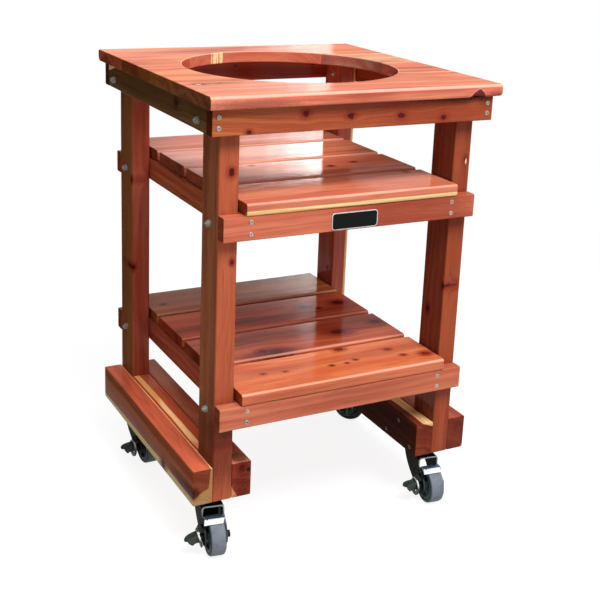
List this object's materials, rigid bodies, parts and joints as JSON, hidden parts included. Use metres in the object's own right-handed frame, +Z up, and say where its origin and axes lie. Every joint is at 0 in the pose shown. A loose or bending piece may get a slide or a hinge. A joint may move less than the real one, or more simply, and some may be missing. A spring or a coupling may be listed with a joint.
{
  "type": "kamado grill table",
  "caption": "Cedar table on braked swivel casters with a round cut-out in its boarded top for a kamado grill, a middle shelf that carries the grill and a lower shelf.",
  "frame": {"origin": "on the floor, under the middle of the table", "axes": "+Z up, +X to the right as seen from the front, the front faces -Y"},
  "size_m": [0.6127, 0.5936, 0.8735],
  "materials": {
    "cedar_top": "varnished red cedar, gloss",
    "cedar_shelf": "varnished red cedar, gloss",
    "cedar_frame": "varnished red cedar, gloss",
    "cedar_post": "varnished red cedar, gloss",
    "cedar_runner": "varnished red cedar, gloss",
    "black_steel": "black, satin",
    "bright_steel": "bright zinc plated",
    "grey_rubber": "matt grey tread",
    "dark_plastic": "moulded, matt"
  },
  "bodies": {
    "table": {"top_board_1": "cedar_top", "top_board_2_left": "cedar_top", "top_board_2_right": "cedar_top", "top_board_3_left": "cedar_top", "top_board_3_right": "cedar_top", "top_board_4": "cedar_top", "top_apron_front": "cedar_frame", "top_apron_rear": "cedar_frame", "top_apron_left": "cedar_frame", "top_apron_right": "cedar_frame", "mid_apron_front": "cedar_frame", "mid_apron_rear": "cedar_frame", "mid_rail_left": "cedar_frame", "mid_rail_right": "cedar_frame", "mid_board_1": "cedar_shelf", "mid_board_2": "cedar_shelf", "mid_board_3": "cedar_shelf", "mid_board_4": "cedar_shelf", "low_apron_front": "cedar_frame", "low_apron_rear": "cedar_frame", "low_rail_left": "cedar_frame", "low_rail_right": "cedar_frame", "low_board_1": "cedar_shelf", "low_board_2": "cedar_shelf", "low_board_3": "cedar_shelf", "low_board_4": "cedar_shelf", "post_front_left": "cedar_post", "post_front_right": "cedar_post", "post_rear_left": "cedar_post", "post_rear_right": "cedar_post", "runner_left_outer": "cedar_runner", "runner_left_inner": "cedar_runner", "filler_left": "cedar_runner", "runner_right_outer": "cedar_runner", "runner_right_inner": "cedar_runner", "filler_right": "cedar_runner", "caster_front_left_plate": "black_steel", "caster_front_right_plate": "black_steel", "caster_rear_left_plate": "black_steel", "caster_rear_right_plate": "black_steel"},
    "swivel_front_left": {"caster_front_left_fork": "black_steel", "caster_front_left_strap": "bright_steel"},
    "wheel_front_left": {"caster_front_left_tyre": "grey_rubber", "caster_front_left_hub": "dark_plastic"},
    "lever_front_left": {"caster_front_left_lever": "black_steel"},
    "swivel_front_right": {"caster_front_right_fork": "black_steel", "caster_front_right_strap": "bright_steel"},
    "wheel_front_right": {"caster_front_right_tyre": "grey_rubber", "caster_front_right_hub": "dark_plastic"},
    "lever_front_right": {"caster_front_right_lever": "black_steel"},
    "swivel_rear_left": {"caster_rear_left_fork": "black_steel", "caster_rear_left_strap": "bright_steel"},
    "wheel_rear_left": {"caster_rear_left_tyre": "grey_rubber", "caster_rear_left_hub": "dark_plastic"},
    "lever_rear_left": {"caster_rear_left_lever": "black_steel"},
    "swivel_rear_right": {"caster_rear_right_fork": "black_steel", "caster_rear_right_strap": "bright_steel"},
    "wheel_rear_right": {"caster_rear_right_tyre": "grey_rubber", "caster_rear_right_hub": "dark_plastic"},
    "lever_rear_right": {"caster_rear_right_lever": "black_steel"}
  },
  "joints": [
    {"name": "swivel_front_left_turn", "type": "hinge", "parent": "table", "child": "swivel_front_left", "pos_m": [-0.24, -0.195, 0.1], "axis": [0, 0, 1], "continuous": true},
    {"name": "wheel_front_left_spin", "type": "hinge", "parent": "swivel_front_left", "child": "wheel_front_left", "pos_m": [-0.24782, -0.24438, 0.037], "axis": [0.9877, -0.1564, 0], "continuous": true},
    {"name": "lever_front_left_tip", "type": "hinge", "parent": "swivel_front_left", "child": "lever_front_left", "pos_m": [-0.27548, -0.24, 0.055], "axis": [-0.1564, -0.9877, 0], "range_deg": [-14, 0]},
    {"name": "swivel_front_right_turn", "type": "hinge", "parent": "table", "child": "swivel_front_right", "pos_m": [0.24, -0.195, 0.1], "axis": [0, 0, 1], "continuous": true},
    {"name": "wheel_front_right_spin", "type": "hinge", "parent": "swivel_front_right", "child": "wheel_front_right", "pos_m": [0.23391, -0.24463, 0.037], "axis": [0.9925, -0.1219, 0], "continuous": true},
    {"name": "lever_front_right_tip", "type": "hinge", "parent": "swivel_front_right", "child": "lever_front_right", "pos_m": [0.20612, -0.24121, 0.055], "axis": [-0.1219, -0.9925, 0], "range_deg": [0, 14]},
    {"name": "swivel_rear_left_turn", "type": "hinge", "parent": "table", "child": "swivel_rear_left", "pos_m": [-0.24, 0.195, 0.1], "axis": [0, 0, 1], "continuous": true},
    {"name": "wheel_rear_left_spin", "type": "hinge", "parent": "swivel_rear_left", "child": "wheel_rear_left", "pos_m": [-0.23826, 0.14503, 0.037], "axis": [0.9994, 0.0349, 0], "continuous": true},
    {"name": "lever_rear_left_tip", "type": "hinge", "parent": "swivel_rear_left", "child": "lever_rear_left", "pos_m": [-0.26624, 0.14405, 0.055], "axis": [0.0349, -0.9994, 0], "range_deg": [0, 14]},
    {"name": "swivel_rear_right_turn", "type": "hinge", "parent": "table", "child": "swivel_rear_right", "pos_m": [0.24, 0.195, 0.1], "axis": [0, 0, 1], "continuous": true},
    {"name": "wheel_rear_right_spin", "type": "hinge", "parent": "swivel_rear_right", "child": "wheel_rear_right", "pos_m": [0.27346, 0.15784, 0.037], "axis": [0.7431, 0.6691, 0], "continuous": true},
    {"name": "lever_rear_right_tip", "type": "hinge", "parent": "swivel_rear_right", "child": "lever_rear_right", "pos_m": [0.25265, 0.13911, 0.055], "axis": [0.6691, -0.7431, 0], "range_deg": [0, 14]}
  ]
}
